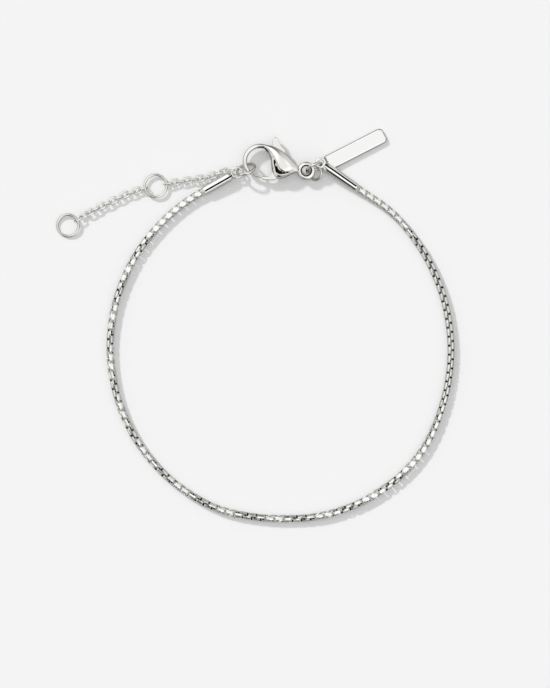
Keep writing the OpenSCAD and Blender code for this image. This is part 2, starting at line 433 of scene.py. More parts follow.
def silver_wear_group() -> bpy.types.NodeTree:
    """Shader group for worn polished silver, from three noises on Object coordinates.

    A broad noise clouds the colour between the bright and the tarnished metal, a fine one varies
    the roughness, and a stretched one makes hairline scratches for a bump.

    Returns:
        The node group.
    """
    tree = bpy.data.node_groups.new("silver_wear", "ShaderNodeTree")
    for name, kind, value in (
        ("Bright", "NodeSocketColor", (0.9, 0.9, 0.89, 1.0)),
        ("Dull", "NodeSocketColor", (0.55, 0.54, 0.52, 1.0)),
        ("Tarnish", "NodeSocketFloat", 0.1),
        ("Cloud Scale", "NodeSocketFloat", 900.0),
        ("Hairline Scale", "NodeSocketFloat", 6000.0),
        ("Smoothest", "NodeSocketFloat", 0.08),
        ("Roughest", "NodeSocketFloat", 0.2),
    ):
        socket = tree.interface.new_socket(name=name, in_out="INPUT", socket_type=kind)
        socket.default_value = value
    for name in ("Color", "Roughness", "Height"):
        kind = "NodeSocketColor" if name == "Color" else "NodeSocketFloat"
        tree.interface.new_socket(name=name, in_out="OUTPUT", socket_type=kind)
    given = tree.nodes.new("NodeGroupInput").outputs
    where = tree.nodes.new("ShaderNodeTexCoord").outputs["Object"]

    def noise(detail: float, vector: Socket, scale: str) -> Socket:
        """The value of a noise whose scale is one of the group's inputs."""
        inputs = {"Detail": detail, "Vector": vector, "Scale": given[scale]}
        return add_node(tree, "ShaderNodeTexNoise", inputs).outputs["Fac"]

    cloud = noise(CLOUD_DETAIL, where, "Cloud Scale")
    amount = add_node(tree, "ShaderNodeMath", {0: cloud, 1: given["Tarnish"]}, operation="MULTIPLY")
    tint = add_node(tree, "ShaderNodeMix", {
        "Factor": amount.outputs[0], "A": given["Bright"], "B": given["Dull"],
    }, data_type="RGBA")
    spread = add_node(tree, "ShaderNodeMapRange", {
        "Value": noise(FINE_DETAIL, where, "Hairline Scale"),
        "From Min": FINE_LOW, "From Max": FINE_HIGH,
        "To Min": given["Smoothest"], "To Max": given["Roughest"],
    })
    stretch = add_node(tree, "ShaderNodeMapping", {
        "Scale": SCRATCH_STRETCH, "Rotation": SCRATCH_TURN, "Vector": where,
    })
    scratch = noise(SCRATCH_DETAIL, stretch.outputs["Vector"], "Hairline Scale")
    add_node(tree, "NodeGroupOutput", {
        "Color": tint.outputs["Result"], "Roughness": spread.outputs["Result"], "Height": scratch,
    })
    return tree


@dataclass(frozen=True)
class SilverFinish:
    """A polished silver finish, dressed with the shared wear group.

    Attributes:
        name: Material name.
        bright: Linear colour of clean metal.
        tarnish: How much grey it has taken.
        smoothest: Lowest roughness.
        roughest: Highest roughness.
        bump: Distance that the hairlines raise the surface, in micrometres.
    """

    name: str
    bright: Point
    tarnish: Tarnish = Tarnish.FAINT
    smoothest: float = 0.08
    roughest: float = 0.2
    bump: float = 2.0

    def build(self, wear: bpy.types.NodeTree) -> Material:
        """Make the material.

        Args:
            wear: The shared wear group.

        Returns:
            The new material.
        """
        material = bpy.data.materials.new(self.name)
        material.use_nodes = True
        tree = material.node_tree
        group = add_node(tree, "ShaderNodeGroup", {
            "Bright": (*self.bright, 1.0), "Tarnish": self.tarnish.value,
            "Smoothest": self.smoothest, "Roughest": self.roughest,
        }, node_tree=wear)
        bump = add_node(tree, "ShaderNodeBump", {
            "Distance": self.bump * MICROMETRE, "Strength": BUMP_STRENGTH,
            "Height": group.outputs["Height"],
        })
        fill(tree, tree.nodes["Principled BSDF"], {
            "Metallic": 1.0, "Base Color": group.outputs["Color"],
            "Roughness": group.outputs["Roughness"], "Normal": bump.outputs["Normal"],
        })
        return material


# Painted shade: the last two finishes are near-black, for the shade inside the links,
# the caps' linings and plugs, the eye's inner side and the clasp's groove
FINISHES = {
    # Painted light and shade: one silver, darker on the wire and clasp, brighter on chain and links
    "chain": SilverFinish("chain_silver", (0.96, 0.95, 0.905), smoothest=0.2, roughest=0.34),
    "cap": SilverFinish("cap_silver", (0.95, 0.945, 0.92), Tarnish.NONE),
    "wire": SilverFinish("wire_silver", (0.82, 0.805, 0.75), roughest=0.16),
    "link": SilverFinish("link_silver", (0.96, 0.95, 0.9), smoothest=0.2, roughest=0.32),
    "clasp": SilverFinish("clasp_silver", (0.89, 0.88, 0.84), roughest=0.14),
    "plate": SilverFinish("tag_silver", (0.95, 0.95, 0.93), Tarnish.NONE),
    "pin": SilverFinish("pin_steel", (0.6, 0.6, 0.6), Tarnish.SOME),
    "hollow_shade": SilverFinish("painted_hollow_shade", (0.035, 0.032, 0.028), Tarnish.NONE, 0.4, 0.6),
    "groove": SilverFinish("painted_groove_shade", (0.012, 0.012, 0.01), Tarnish.NONE, 0.4, 0.6),
}


def build_finishes() -> dict[str, Material]:
    """Make every finish once, all from one wear group."""
    wear = silver_wear_group()
    return {part: finish.build(wear) for part, finish in FINISHES.items()}


@dataclass
class BoxChain:
    """The loop of square box links, each turned a quarter turn from the last.

    Angles of the route are clockwise from +X, in degrees.

    Attributes:
        width: Outer size of a link across the chain.
        length: Outer size of a link along the chain.
        strip: Thickness of the strip that a link is bent from.
        depth: Width of the strip.
        outer_radius: Radius that the links' outside is rounded to.
        chamfer: Cut of a link's outer corners.
        inner_chamfer: Cut of its inner corners.
        inner_share: Width of the strip's inner face as a share of its outer one.
        levels: Heights of the outer face's points, in half depths.
        wanted_pitch: Step from link to link before it is fitted to whole links.
        height: Height of the chain's own line.
        right_end: Angle where the route starts, in the right cap.
        left_end: Angle where it ends, in the left cap.
        right_lift: Rise at the right end and the degrees in which it fades.
        left_lift: Rise at the left end and the degrees in which it fades.
        smoothing: Shifts of the angle and the weights that even the radius out.
        samples: Points that the route's length is measured with.
        chord: Degrees either side that a link's direction is taken from.
        radii: Angles and the route's radius there.
        twist: Angles and the chain's turn about its own line there.
    """

    width: float = 1.12
    length: float = 1.16
    strip: float = 0.14
    depth: float = 0.68
    outer_radius: float = 0.57
    chamfer: float = 0.15
    inner_chamfer: float = 0.05
    inner_share: float = 0.92
    levels: tuple[float, ...] = (-1.0, -0.7, -0.35, 0.0, 0.35, 0.7, 1.0)
    wanted_pitch: float = 0.71
    height: float = 0.625
    right_end: float = -64.1
    left_end: float = 242.7
    right_lift: tuple[float, float] = (0.25, 9.5)
    left_lift: tuple[float, float] = (0.08, 6.0)
    smoothing: Table = (
        (-3.0, 0.125), (-1.5, 0.25), (0.0, 0.25), (1.5, 0.25), (3.0, 0.125),
    )
    samples: int = 1201
    chord: float = 0.5
    radii: Table = (
        (-66, 27.72), (-62, 27.36), (-50, 27.25), (-40, 26.9), (-25, 26.6), (-8, 26.5),
        (10, 26.65), (22, 26.9), (35, 27.4), (45, 27.5), (60, 27.4), (75, 27.25),
        (90, 26.95), (100, 27.05), (111, 27.35), (125, 27.25), (145, 27.15), (168, 27.0),
        (200, 27.0), (225, 27.15), (235, 27.3), (245, 27.4),
    )
    twist: Table = (
        (-66, 0), (-47, 0), (-38, 45), (12, 50), (42, 90), (223, 1080), (245, 1080),
    )

    def at(self, angle: Array) -> Array:
        """Points of the route.

        The radius is the weighted mean of the table's at the shifted angles. The line lies at
        the common height plus, near each end, the rise times the square of what is left of
        the fade.

        Args:
            angle: Clockwise angles in degrees, shape (n,).

        Returns:
            Points, shape (n, 3).
        """
        knots, radii = np.array(self.radii).T
        shifts, weights = np.array(self.smoothing).T
        radius = np.interp(angle[:, None] + shifts, knots, radii) @ weights
        lift = np.zeros_like(radius)
        for past, (rise, fade) in (
            (angle - self.right_end, self.right_lift), (self.left_end - angle, self.left_lift),
        ):
            lift += rise * np.maximum(1 - past / fade, 0) ** 2
        a = np.radians(angle)
        return np.stack([radius * np.cos(a), -radius * np.sin(a), self.height + lift], axis=1)

    def placements(self) -> tuple[Array, Array]:
        """Where every link lies, the two soldered in the caps included.

        Equal steps along the route's measured length give the middles; the heading and the rise
        come from the chord either side, and the roll from the twist.

        Returns:
            Rotation matrices, shape (k, 3, 3), and middles, shape (k, 3).
        """
        angles = np.linspace(self.right_end, self.left_end, self.samples)
        steps = np.linalg.norm(np.diff(self.at(angles), axis=0), axis=1)
        travelled = np.concatenate([[0.0], np.cumsum(steps)])
        links = int(np.round(travelled[-1] / self.wanted_pitch))
        number = np.arange(links + 1)
        a = np.interp(number * travelled[-1] / links, travelled, angles)
        chord = self.at(a + self.chord) - self.at(a - self.chord)
        knots, turns = np.array(self.twist).T
        roll = np.interp(a, knots, turns) + QUARTER_TURN * number
        return laid_along(chord, roll), self.at(a)

    def link(self) -> Shell:
        """One link: a flat strip bent round a chamfered square, its outside rounded to a cylinder.

        Any point farther from the chain's own line than outer_radius is drawn in to it.

        Returns:
            The link about its middle, along X. Its second face group is the strip's inner side.
        """
        half = self.depth / 2
        outer = self._square(0.0, self.chamfer, half * np.array(self.levels))
        low = half * self.inner_share
        inner = self._square(self.strip, self.inner_chamfer, np.array([low, -low]))
        points = np.concatenate([outer, inner], axis=1)
        rows, columns = points.shape[:2]
        points = points.reshape(-1, 3)
        limit = np.sqrt(np.maximum(self.outer_radius**2 - points[:, 2] ** 2, 0))
        points[:, 1] = np.clip(points[:, 1], -limit, limit)
        quads = grid_faces(rows, columns, True, True)
        inside = np.arange(len(quads)) % columns == len(self.levels)
        return Shell(points, [quads[~inside], quads[inside]])

    def _square(self, inset: float, cut: float, heights: Array) -> Array:
        """A link's outline, drawn in and with its corners cut, at each of some heights.

        Args:
            inset: Distance that it is drawn in.
            cut: Size of the cuts.
            heights: Heights that it is repeated at.

        Returns:
            Points, shape (8, number of heights, 3).
        """
        x, y = self.length / 2 - inset, self.width / 2 - inset
        outline = np.array([
            [x, cut - y], [x, y - cut], [x - cut, y], [cut - x, y],
            [-x, y - cut], [-x, cut - y], [cut - x, -y], [x - cut, -y],
        ])
        flat = np.repeat(outline[:, None], len(heights), axis=1)
        up = np.broadcast_to(heights, flat.shape[:2])
        return np.concatenate([flat, up[..., None]], axis=2)

    def build(self, finish: Material, hollow_shade: Material) -> list[Piece]:
        """Make the two halves and say which solids they stand for.

        Args:
            finish: The chain's material.
            hollow_shade: Near-black painted shade inside the links.

        Returns:
            The two pieces.
        """
        turns, shifts = self.placements()
        half = int(np.round((len(turns) - 1) / 2))
        # The strip's inner side takes the near-black painted shade.
        link, inner_side = self.link(), (1,)
        pieces = []
        for name, node, part in (
            ("chain_links_right", "box_chain_right", slice(0, half + 1)),
            ("chain_links_left", "box_chain_left", slice(half + 1, len(turns))),
        ):
            links = link.repeated(turns[part], shifts[part])
            piece = make_object(name, links, finish, Crisp.STRIP, hollow_shade=hollow_shade,
                                shaded_groups=inner_side)
            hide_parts(node)
            pieces.append(piece)
        return pieces


@dataclass
class WireRing:
    """A jump ring: a loop of round wire cut once, with the two ends almost closed.

    Attributes:
        name: The piece's name.
        node: The solid that it stands for.
        middle: The ring's middle.
        radius: Radius of the wire's own line.
        wire: Radius of the wire.
        azimuth: Turn about Z that follows the tilt, in degrees.
        tilt: Turn out of the level, in degrees.
        tilt_axis: Axis of the tilt.
        gap_at: Angle of the cut, in degrees.
        gap: Width of the cut.
        steps: Points along the wire.
        sides: Points round the wire.
    """

    name: str
    node: str
    middle: Point
    radius: float
    wire: float
    azimuth: float
    tilt: float
    tilt_axis: str = "x"
    gap_at: float = 140.0
    gap: float = 0.03
    steps: int = 97
    sides: int = 16

    def shell(self) -> Shell:
        """The cut ring in place: a circle from one side of the cut to the other.

        Returns:
            The closed shell of the wire.
        """
        half = np.degrees(self.gap / self.radius / 2)
        curve = arc(self.radius, self.gap_at + half, self.gap_at + 360 - half, self.steps)
        ring = flat_sweep(curve, circle(self.wire, self.sides), closed=False)
        turn = turn_about("z", self.azimuth) @ turn_about(self.tilt_axis, self.tilt)
        return ring.placed(turn, np.array(self.middle))

    def build(self, finish: Material) -> Piece:
        """Make the ring and let it stand for its solid.

        Args:
            finish: The metal's material.

        Returns:
            The ring.
        """
        piece = make_object(self.name, self.shell(), finish, Crisp.WIRE)
        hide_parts(self.node)
        return piece


@dataclass
class OvalRun:
    """A length of small oval links that hang from one wire to the next.

    Attributes:
        name: The piece's name.
        node: The solid that it stands for.
        route: Points that the run passes through.
        rolls: Turn of each link beyond its quarter turns, in degrees.
        length: Outer length of a link.
        width: Outer width of a link.
        wire: Radius of the wire.
        end_gap: Distance of the end links' middles from the route's ends.
        reach: Distance either side that a link's direction is taken from.
        bend_steps: Points in each half circle.
        sides: Points round the wire.
    """

    name: str
    node: str
    route: tuple[Point, ...]
    rolls: tuple[float, ...]
    length: float = 1.65
    width: float = 1.1
    wire: float = 0.125
    end_gap: float = 0.29
    reach: float = 0.5
    bend_steps: int = 11
    sides: int = 10

    def link(self) -> Shell:
        """One link along X: two straight sides joined by half circles.

        Returns:
            The link about its middle.
        """
        bend, straight = self.width / 2 - self.wire, (self.length - self.width) / 2
        half = arc(bend, -QUARTER_TURN, QUARTER_TURN, self.bend_steps) + [straight, 0.0]
        return flat_sweep(np.vstack([half, -half]), circle(self.wire, self.sides), True)

    def build(self, finish: Material) -> Piece:
        """Place the links at equal steps along the route, each a quarter turn from the last.

        Args:
            finish: The metal's material.

        Returns:
            The run.
        """
        points = np.array(self.route)
        sums = np.concatenate([[0.0], np.cumsum(np.linalg.norm(np.diff(points, axis=0), axis=1))])
        number = np.arange(len(self.rolls))
        at = self.end_gap + number * (sums[-1] - 2 * self.end_gap) / (len(number) - 1)

        def along(s: Array) -> Array:
            """Points of the route at travelled lengths."""
            return np.stack([np.interp(s, sums, points[:, k]) for k in range(3)], axis=1)

        before, after = np.maximum(at - self.reach, 0), np.minimum(at + self.reach, sums[-1])
        roll = QUARTER_TURN * (number + 1) + np.array(self.rolls)
        turns = laid_along(along(after) - along(before), roll)
        links = self.link().repeated(turns, along(at))
        piece = make_object(self.name, links, finish, Crisp.WIRE)
        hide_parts(self.node)
        return piece


@dataclass
class RolledCap:
    """A tube rolled from sheet, tapered at its eyelet end, with a slit and a flat eyelet.

    Attributes:
        name: The piece's name.
        node: The solid that it stands for.
        eye: Middle of the eyelet's hole.
        mouth: Middle of the tube's open end.
        start_gap: Distance from the hole's middle to the start of the tube.
        radius_eye: Outer radius at the eyelet, without the taper.
        radius_mouth: Outer radius at the mouth.
        roll: Turn of the slit from straight up, in degrees.
        hole: Radius of the hole.
        eye_outer: Outer radius of the eyelet.
        wall: Thickness of the sheet.
        slit: Width of the slit.
        taper: Length of the taper.
        taper_in: Drawing in of the radius at the taper's end.
        taper_steps: Sections in the taper, and after it in tube_steps.
        wall_steps: Points round the wall from the slit to the slit.
        eye_thickness: Height of the eyelet.
        eye_fullness: Power of the eyelet's section.
        eye_steps: Points along the eyelet, and round its section in eye_sides.
        plug_inset: How much smaller the plug is than the end of the taper.
        plug_rim: Where along the tube the plug's dome ends.
        plug_rise: Height of the dome.
        plug_back: Where along the tube the plug ends.
        plug_ends: Radius of the plug's first and last section, as shares of its own.
        plug_steps: Sections in the dome, and points round it in plug_sides.
    """

    name: str
    node: str
    eye: Point
    mouth: Point
    start_gap: float
    radius_eye: float
    radius_mouth: float
    roll: float
    hole: float
    eye_outer: float
    wall: float = 0.18
    slit: float = 0.28
    taper: float = 0.7
    taper_in: float = 0.2
    taper_steps: int = 8
    tube_steps: int = 14
    wall_steps: int = 57
    eye_thickness: float = 0.34
    eye_fullness: float = 0.7
    eye_steps: int = 64
    eye_sides: int = 16
    plug_inset: float = 0.02
    plug_rim: float = 0.16
    plug_rise: float = 0.12
    plug_back: float = 0.45
    plug_ends: tuple[float, float] = (0.02, 0.98)
    plug_steps: int = 8
    plug_sides: int = 32

    def tube(self, length: float) -> Shell:
        """The rolled wall: a C-shaped section whose radius follows the taper along X.

        The outer radius goes evenly from the eyelet's to the mouth's, less taper_in times
        1 - sin(a), with a from 0 to a right angle over the taper.

        Args:
            length: The tube's length.

        Returns:
            The wall with both rims closed. Its second face group is the lining.
        """
        s = np.concatenate([
            np.linspace(0, self.taper, self.taper_steps),
            np.linspace(self.taper, length, self.tube_steps)[1:],
        ])
        cone = self.radius_eye + (self.radius_mouth - self.radius_eye) * s / length
        ease = np.clip(s / self.taper, 0, 1)
        outer = cone - self.taper_in * (1 - np.sin(ease * np.pi / 2))
        count = self.wall_steps
        t = np.linspace(-1, 1, count)
        half_slit = np.arcsin(self.slit / 2 / outer)
        angle = np.pi + t[None] * (np.pi - half_slit[:, None])
        wide = np.repeat(outer[:, None], count, axis=1)
        inner = wide - self.wall
        up, side = np.cos(angle), np.sin(angle)
        along = np.broadcast_to(s[:, None], angle.shape)
        skin = np.stack([along, wide * side, wide * up], axis=2)
        lining = np.stack([along, inner * side, inner * up], axis=2)[:, ::-1]
        points = np.concatenate([skin, lining], axis=1)
        rows, columns = points.shape[:2]
        i = np.arange(count - 1)
        rim = np.stack([i, i + 1, columns - 2 - i, columns - 1 - i], axis=1)
        last = (rows - 1) * columns
        quads = grid_faces(rows, columns, False, True)
        lined = np.arange(len(quads)) % columns >= count - 1
        faces = [quads[~lined], quads[lined], rim, rim[:, ::-1] + last]
        return Shell(points.reshape(-1, 3), faces)

    def plug(self) -> Shell:
        """The closed end inside the tube: a shallow dome, a short barrel and two flat ends.

        The dome is a quarter ellipse turned about X.

        Returns:
            The closed shell along X.
        """
        radius = self.radius_eye - self.taper_in - self.plug_inset
        first, last = self.plug_ends
        a = np.linspace(0, np.pi / 2, self.plug_steps)[::-1]
        x = np.append(self.plug_rim - self.plug_rise * np.sin(a), self.plug_back)
        r = np.append(radius * np.maximum(np.cos(a), first), radius * last)[:, None]
        rows, sides = len(x), self.plug_sides
        up, side = circle(1.0, sides).T
        points = np.stack([np.repeat(x[:, None], sides, axis=1), r * side, r * up], axis=2)
        rim = np.arange(sides)
        ends = [rim[None], rim[::-1][None] + (rows - 1) * sides]
        return Shell(points.reshape(-1, 3), [grid_faces(rows, sides, False, True), *ends])

    def eyelet(self) -> Shell:
        """The flat eyelet about its upright hole: a circle swept with a soft-cornered section.

        Returns:
            The closed shell about the hole's middle.
        """
        mean, half = (self.hole + self.eye_outer) / 2, (self.eye_outer - self.hole) / 2
        section = superellipse(half, self.eye_thickness / 2, self.eye_sides, self.eye_fullness)
        return flat_sweep(circle(mean, self.eye_steps), section, True)

    def build(self, finish: Material, hollow_shade: Material) -> Piece:
        """Join the wall, the plug and the eyelet into one piece that stands for the solid.

        Args:
            finish: The metal's material.
            hollow_shade: Near-black painted shade on the tube's lining and plug.

        Returns:
            The cap.
        """
        d = np.array(self.mouth) - np.array(self.eye)
        turn = laid_along(d, self.roll)
        start = np.array(self.eye) + turn[:, 0] * self.start_gap
        tube = self.tube(float(np.linalg.norm(d)) - self.start_gap)
        tube = joined(tube, self.plug()).placed(turn, start)
        eyelet = self.eyelet().placed(np.eye(3), np.array(self.eye))
        # The lining and the plug take the near-black painted shade.
        lining_and_plug = (1, 4, 5, 6)
        piece = make_object(self.name, joined(tube, eyelet), finish, hollow_shade=hollow_shade,
                            shaded_groups=lining_and_plug)
        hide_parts(self.node)
        return piece


@dataclass
class Tag:
    """The bare flat plate with its soldered bail.

    Attributes:
        end: Middle of the plate's raised end.
        azimuth: Direction of the plate in degrees.
        slope: Fall of the plate towards its far end, in degrees.
        length: Length of the plate.
        width: Width of the plate.
        thickness: Thickness of the plate.
        rim: Width of the softened rim.
        rim_fall: How much deeper than wide the rim is.
        rim_steps: Layers in the rim.
        corner: Radius of the corners at the far end.
        near_corner: Radius of the corners at the raised end.
        corner_steps: Points in a corner.
        bail: Middle of the bail.
        bail_radius: Radius of the bail's own line.
        bail_wire: Radius of its wire.
        bail_steps: Points along the bail, and round its wire in bail_sides.
        stem: Where the stem starts and ends, along the plate from the bail's middle.
        stem_half: Half the stem's width and thickness.
        stem_rim: Width of the stem's softened rim.
        stem_height: Height of the stem's middle.
    """

    end: Point = (7.09, 28.8, 0.41)
    azimuth: float = 27.2
    slope: float = 0.46
    length: float = 10.15
    width: float = 2.4
    thickness: float = 0.65
    rim: float = 0.24
    rim_fall: float = 1.7
    rim_steps: int = 5
    corner: float = 0.65
    near_corner: float = 0.18
    corner_steps: int = 9
    bail: Point = (6.05, 27.9, 1.0)
    bail_radius: float = 0.34
    bail_wire: float = 0.11
    bail_steps: int = 48
    bail_sides: int = 12
    stem: tuple[float, float] = (0.02, 1.38)
    stem_half: float = 0.12
    stem_rim: float = 0.05
    stem_height: float = 0.6

    def plate(self) -> Shell:
        """The plate: nearly square at the raised end, round-cornered at the far one.

        Returns:
            The closed shell along X, from the raised end.
        """
        h, far, near = self.width / 2, self.corner, self.near_corner
        outline = np.vstack([
            arc(r, start, start + QUARTER_TURN, self.corner_steps) + [x, y]
            for x, y, r, start in (
                (self.length - far, far - h, far, -90.0), (self.length - far, h - far, far, 0.0),
                (near, h - near, near, 90.0), (near, near - h, near, 180.0),
            )
        ])
        return bevelled_slab(outline, self.thickness / 2, self.rim, self.rim_steps, self.rim_fall)

    def build(self, finish: Material) -> Piece:
        """Place the plate, the bail and the stem between them, and let them stand for the solid.

        Args:
            finish: The metal's material.

        Returns:
            The tag.
        """
        across = turn_about("z", self.azimuth)
        plate = self.plate().placed(across @ turn_about("y", self.slope), np.array(self.end))
        curve = circle(self.bail_radius, self.bail_steps)
        ring = flat_sweep(curve, circle(self.bail_wire, self.bail_sides), True)
        bail = ring.placed(across @ turn_about("x", QUARTER_TURN), np.array(self.bail))
        (low, high), h = self.stem, self.stem_half
        bar = np.array([[high, -h], [high, h], [low, h], [low, -h]])
        foot = np.array([*self.bail[:2], self.stem_height])
        stem = bevelled_slab(bar, h, self.stem_rim).placed(across, foot)
        piece = make_object("tag_plate", joined(plate, bail, stem), finish, Crisp.CAST)
        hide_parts("tag")
        return piece


@dataclass
class Clasp:
    """The lobster clasp: a hook that swells into the body and narrows to the eye, and its lever.

    Positions are about the hook's middle. Stations are the sections of the shank, from the tip to
    the eye.

    Attributes:
        middle: The hook's middle.
        hook_radius: Radius of the hook's own line.
        hook_half: Half its width, and half its thickness in hook_thick.
        hook_end: Angle where the hook passes into the body, in degrees.
        hook_knots: Knots of the curve from tip to hook_end.
        stations: Number of sections.
        sides: Points in a section.
        fullness: Stations and the power of the section's inner side there.
        outer_fullness: Power of its outer side.
        groove: Knots of the groove, and its place across, depth and width there.
        groove_shade_depth: Depth beyond which the groove's faces take the near-black painted shade.
        tip: Angle of the hook's tip, in degrees.
        tip_stations: Stations in which the tip is rounded.
        tip_least: Size of the first section as a share of the full one.
        eye: Middle of the eye.
        eye_radius: Radius of the eye's own line.
        eye_half: Half the width of its section, and half its height in eye_tall.
        eye_fullness: Power of its section.
        eye_steps: Points along the eye, and round its section in eye_sides.
        eye_shade_rows: Rows of faces either side of the innermost line in painted shade.
        pivot: The lever's pivot.
        lever_half: Half the lever's thickness.
        lever_rim: Width of its softened rim.
        lever_steps: Points in its outline.
        slot_half: Half the height of the slot.
        slot_radius: Radius of the slot about the pivot.
        slot_arc: Angles from which and to which it goes, in degrees.
        slot_steps: Points in that arc.
        slot_way: Corners of the tab's way out.
        slot_rim: Bevel of the slot's cutter.
        body_pairs: Outer and inner edge point and half thickness, from the hook to the eye.
        lever_outline: Corners that the lever's outline is smoothed through, clockwise.
    """

    middle: Point = (-3.407, 29.12, 1.3)
    hook_radius: float = 2.43
    hook_half: float = 0.33
    hook_thick: float = 0.6
    hook_end: float = 76.0
    hook_knots: int = 12
    stations: int = 150
    sides: int = 96
    fullness: Table = ((0, 0.72), (70, 0.72), (95, 0.9), (130, 0.9), (149, 0.75))
    outer_fullness: float = 0.72
    groove: Table = (
        (8.2, -0.9, 0.0, 0.45), (9.6, -0.9, 0.3, 0.5), (11.0, -0.85, 0.34, 0.5),
        (12.4, -0.85, 0.34, 0.3), (13.4, -0.85, 0.0, 0.2), (14.3, -0.42, 0.0, 0.13),
        (15.2, -0.42, 0.36, 0.13), (16.2, -0.46, 0.42, 0.14), (17.0, -0.55, 0.42, 0.15),
        (18.0, -0.4, 0.34, 0.13), (19.0, -0.3, 0.24, 0.12), (20.3, -0.3, 0.0, 0.12),
    )
    groove_shade_depth: float = 0.2
    tip: float = 232.0
    tip_stations: float = 7.0
    tip_least: float = 0.02
    eye: tuple[float, float] = (7.222, -1.476)
    eye_radius: float = 1.06
    eye_half: float = 0.34
    eye_tall: float = 0.42
    eye_fullness: float = 0.75
    eye_steps: int = 72
    eye_sides: int = 20
    eye_shade_rows: float = 4.0
    pivot: tuple[float, float] = (2.622, -0.55)
    lever_half: float = 0.4
    lever_rim: float = 0.1
    lever_steps: int = 132
    slot_half: float = 0.45
    slot_radius: float = 2.6
    slot_arc: tuple[float, float] = (-208.0, 22.0)
    slot_steps: int = 60
    slot_way: Table = ((3.7, 1.6), (3.6, 3.3), (1.78, 3.3), (1.78, 0.2), (0.3, 0.2))
    slot_rim: float = 0.001
    body_pairs: Table = (
        (1.00, 2.60, 0.68, 1.93, 0.64), (1.758, 2.465, 1.30, 1.25, 0.76),
        (2.58, 2.16, 1.60, 0.42, 0.93), (3.328, 1.758, 1.66, -0.45, 1.10),
        (4.02, 1.25, 1.74, -1.30, 1.21), (4.632, 0.707, 2.02, -2.12, 1.27),
        (5.12, 0.16, 2.62, -2.74, 1.24), (5.50, -0.28, 3.80, -2.58, 1.08),
        (5.80, -0.60, 4.95, -1.98, 0.84), (6.08, -0.84, 5.70, -1.82, 0.56),
        (6.25, -1.05, 6.05, -1.78, 0.34),
    )
    lever_outline: Table = (
        (1.915, 2.277), (1.947, 3.438), (2.182, 3.721), (2.528, 3.721), (2.842, 3.344),
        (3.25, 2.434), (3.956, 1.57), (3.721, 0.55), (3.485, -0.707), (3.093, -1.649),
        (2.622, -2.277), (2.386, -2.842), (0.659, -2.905), (0.08, -2.575), (-1.03, -2.25),
        (-1.16, -1.93), (0.047, -2.261), (0.424, -2.339), (1.444, -2.308), (1.837, -1.649),
        (1.837, 0.236), (1.994, 1.806),
    )

    def shank(self) -> Shell:
        """Hook and body in one: sections between paired outer and inner edge points.

        A section's point is the pair's middle, plus the outer point's offset times a filled
        cosine, plus the half thickness times a filled sine along Z. The tip closes by a round.
        The groove lowers the height by its depth times exp(-d * d), where d is the distance from
        the groove's line in groove widths.

        Returns:
            The closed shell about the hook's middle. Its last face group is the groove's inside.
        """
        ring = arc(1.0, self.tip, self.hook_end, self.hook_knots)
        hook = np.concatenate([
            ring * (self.hook_radius + self.hook_half), ring * (self.hook_radius - self.hook_half),
            np.full((len(ring), 1), self.hook_thick),
        ], axis=1)
        knots = np.vstack([hook, np.array(self.body_pairs)])
        rows, columns = self.stations, self.sides
        number = np.arange(rows)
        path = smooth_curve(knots, rows, False)
        outer, inner, half = path[:, :2], path[:, 2:4], path[:, 4]
        ease = np.minimum(number / self.tip_stations, 1.0)
        close = np.sqrt(1 - (1 - ease) ** 2) * (1 - self.tip_least) + self.tip_least
        mid, reach = (outer + inner) / 2, (outer - inner) / 2 * close[:, None]
        c, s = circle(1.0, columns).T
        power = np.interp(number, *np.array(self.fullness).T)[:, None]
        power = np.where(c > 0, self.outer_fullness, power)
        across, up = np.sign(c) * np.abs(c) ** power, np.sign(s) * np.abs(s) ** power
        knot, *shape = np.array(self.groove).T
        at = number * (len(knots) - 1) / (rows - 1)
        where, depth, wide = [np.interp(at, knot, v)[:, None] for v in shape]
        dip = depth * np.exp(-(((across - where) / wide) ** 2))
        flat = mid[:, None] + reach[:, None] * across[..., None]
        height = (half * close)[:, None] * up * (1 - dip)
        points = np.concatenate([flat, height[..., None]], axis=2).reshape(-1, 3)
        quads = grid_faces(rows, columns, False, True)
        # Faces that the groove lowers far enough take the near-black painted shade.
        deep = dip[:-1].ravel() > self.groove_shade_depth
        rim = np.arange(columns)
        ends = [rim[None], (rim[::-1] + (rows - 1) * columns)[None]]
        return Shell(points, [quads[~deep], *ends, quads[deep]])

    def eyelet(self) -> Shell:
        """The eye: a circle swept with a deep oval section.

        Returns:
            The closed shell about the hook's middle. Its second face group is the innermost
            faces.
        """
        section = superellipse(self.eye_half, self.eye_tall, self.eye_sides, self.eye_fullness)
        ring = flat_sweep(circle(self.eye_radius, self.eye_steps), section, True)
        quads = ring.faces[0]
        row = np.arange(len(quads)) % self.eye_sides
        # The faces on the eye's inner side take the near-black painted shade.
        inner = np.abs(row - (self.eye_sides - 1) / 2) < self.eye_shade_rows
        ring.faces = [quads[~inner], quads[inner]]
        return ring.placed(np.eye(3), np.array([*self.eye, 0.0]))

    def slot(self) -> Shell:
        """The space that the lever swings in: a disc about the pivot and the way out of its tab.

        Returns:
            The cutter's closed shell about the hook's middle.
        """
        disc = arc(self.slot_radius, *self.slot_arc, self.slot_steps) + np.array(self.pivot)
        outline = np.vstack([disc, np.array(self.slot_way)])
        return bevelled_slab(outline, self.slot_half, self.slot_rim, steps=1)

    def lever(self) -> Shell:
        """The lever: its smoothed outline as a plate with a rounded rim."""
        outline = smooth_curve(np.array(self.lever_outline)[::-1], self.lever_steps, True)
        return bevelled_slab(outline, self.lever_half, self.lever_rim)

